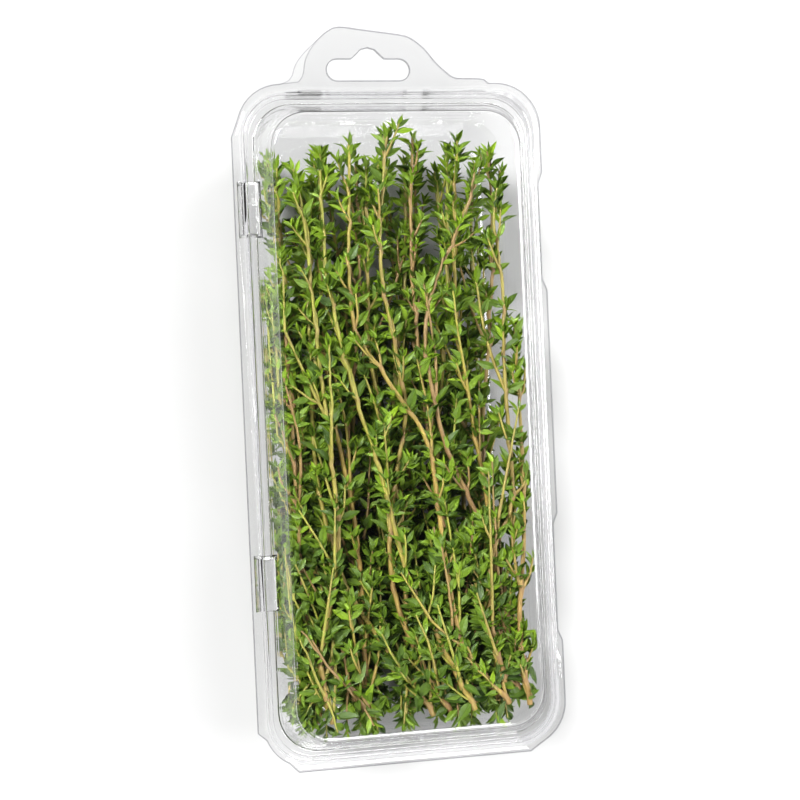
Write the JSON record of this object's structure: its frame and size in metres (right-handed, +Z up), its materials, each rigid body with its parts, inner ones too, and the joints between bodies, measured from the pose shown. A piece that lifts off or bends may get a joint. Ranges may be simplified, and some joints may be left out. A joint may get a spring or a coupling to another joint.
{
  "type": "thyme bundle in hinged clamshell pack",
  "caption": "Fresh-cut thyme sprigs lying in a clear hinged clamshell pack with a slotted hang tab.",
  "frame": {"origin": "under the middle of the pack's box, on the surface that the tray's floor rests on", "axes": "+Y along the pack towards the hang tab, +Z up out of the lid, the hinge along the -X side"},
  "size_m": [0.088, 0.204, 0.025],
  "materials": {
    "clear_sheet": "clear thermoformed sheet, glossy",
    "thyme_sprig": "matte green leaves on a tan woody stem"
  },
  "bodies": {
    "tray": {"tray": "clear_sheet", "sprig_01": "thyme_sprig", "sprig_02": "thyme_sprig", "sprig_03": "thyme_sprig", "sprig_04": "thyme_sprig", "sprig_05": "thyme_sprig", "sprig_06": "thyme_sprig", "sprig_07": "thyme_sprig", "sprig_08": "thyme_sprig", "sprig_09": "thyme_sprig", "sprig_10": "thyme_sprig", "sprig_11": "thyme_sprig", "sprig_12": "thyme_sprig", "sprig_13": "thyme_sprig", "sprig_14": "thyme_sprig", "sprig_15": "thyme_sprig", "sprig_16": "thyme_sprig", "sprig_17": "thyme_sprig", "sprig_18": "thyme_sprig", "sprig_19": "thyme_sprig", "sprig_20": "thyme_sprig", "sprig_21": "thyme_sprig", "sprig_22": "thyme_sprig", "sprig_23": "thyme_sprig", "sprig_24": "thyme_sprig", "sprig_25": "thyme_sprig", "sprig_26": "thyme_sprig", "sprig_27": "thyme_sprig"},
    "lid": {"lid": "clear_sheet"}
  },
  "joints": [
    {"name": "lid_hinge", "type": "hinge", "parent": "tray", "child": "lid", "pos_m": [-0.044, -0.00785, 0.014], "axis": [0, -1, 0], "range_deg": [0, 180]}
  ]
}
